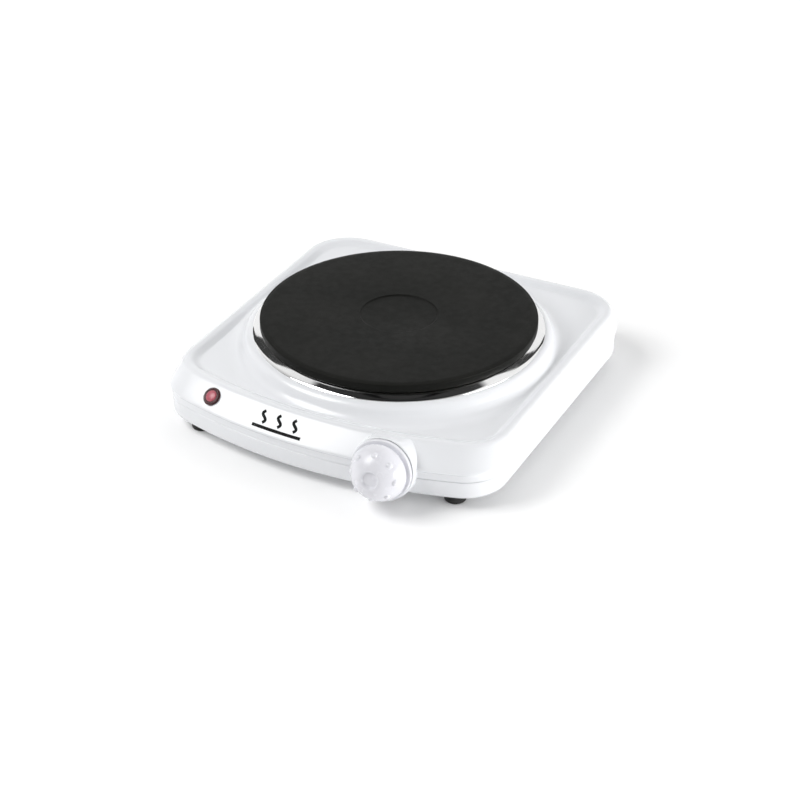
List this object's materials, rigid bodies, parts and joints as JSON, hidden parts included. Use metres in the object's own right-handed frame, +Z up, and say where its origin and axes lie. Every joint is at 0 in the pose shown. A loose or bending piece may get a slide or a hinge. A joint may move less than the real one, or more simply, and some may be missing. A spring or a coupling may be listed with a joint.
{
  "type": "hot plate burner",
  "caption": "Free-standing single electric hot plate: white bowed housing, cast-iron plate in a bright spill ring, front control knob that turns and a lamp.",
  "frame": {"origin": "middle of the whole footprint on the surface that the feet stand on", "axes": "+Z up through the hotplate, -Y towards the control knob (the front), +X to the right seen from the front"},
  "size_m": [0.2404, 0.2728, 0.057],
  "materials": {
    "white_enamel": "gloss white stoved enamel on pressed steel",
    "cast_iron": "satin black heat-resistant coating on turned cast iron",
    "bright_ring": "polished stainless spill ring",
    "white_plastic": "glossy heat-resistant moulding",
    "red_lens": "dark red translucent lens",
    "black_rubber": "matte",
    "black_plastic": "matte",
    "zinc_steel": "bright zinc plated",
    "spring_steel": "tempered",
    "shield_alloy": "mill finish sheet",
    "brass": "turned",
    "steatite": "unglazed",
    "heater_cement": "pressed and fired",
    "heater_wire": "oxidised",
    "neon_glass": "clear",
    "lead_brown": "silicone insulation",
    "lead_black": "silicone insulation",
    "lead_blue": "silicone insulation",
    "lead_green": "silicone insulation",
    "lead_grey": "silicone insulation",
    "clear_sleeve": "push-on connector sleeve"
  },
  "bodies": {
    "base": {"top_housing": "white_enamel", "base_tray": "white_enamel", "hotplate_disc": "cast_iron", "spill_ring": "bright_ring", "heating_coil": "heater_wire", "insulation_bed": "heater_cement", "plate_cover": "zinc_steel", "centre_stud": "zinc_steel", "stud_spacer": "zinc_steel", "heat_shield": "shield_alloy", "stud_washer": "zinc_steel", "stud_nut": "zinc_steel", "mounting_bridge": "zinc_steel", "terminal_bead_1": "steatite", "terminal_bead_2": "steatite", "plate_blades": "brass", "thermostat_body": "steatite", "thermostat_bush": "brass", "thermostat_nut": "brass", "bimetal_strip": "spring_steel", "contact_leaf": "brass", "contact_points": "brass", "thermostat_blades": "brass", "lamp_lens": "red_lens", "lamp_push_clip": "spring_steel", "lamp_holder": "black_plastic", "neon_lamp": "neon_glass", "lamp_resistor": "steatite", "foot_front_left": "black_rubber", "foot_front_right": "black_rubber", "foot_back_left": "black_rubber", "foot_back_right": "black_rubber", "foot_screws": "zinc_steel", "cord_gland": "black_plastic", "cord_clamp": "black_plastic", "cord_clamp_screws": "zinc_steel", "mains_terminal_block": "steatite", "block_screw": "zinc_steel", "terminal_inserts": "brass", "terminal_screws": "zinc_steel", "earth_tag": "brass", "earth_screw": "brass", "thermostat_connectors": "clear_sleeve", "plate_connectors": "clear_sleeve", "lead_live": "lead_brown", "lead_switched": "lead_black", "lead_neutral": "lead_blue", "lead_earth": "lead_green", "lamp_lead_neutral": "lead_blue", "lamp_lead_switched": "lead_grey"},
    "control": {"knob": "white_plastic", "knob_spring_clip": "spring_steel", "thermostat_spindle": "zinc_steel"}
  },
  "joints": [
    {"name": "knob_turn", "type": "hinge", "parent": "base", "child": "control", "pos_m": [0.0542, -0.11482, 0.0251], "axis": [-0.0515, 0.9835, -0.1736], "range_deg": [0, 270]}
  ]
}
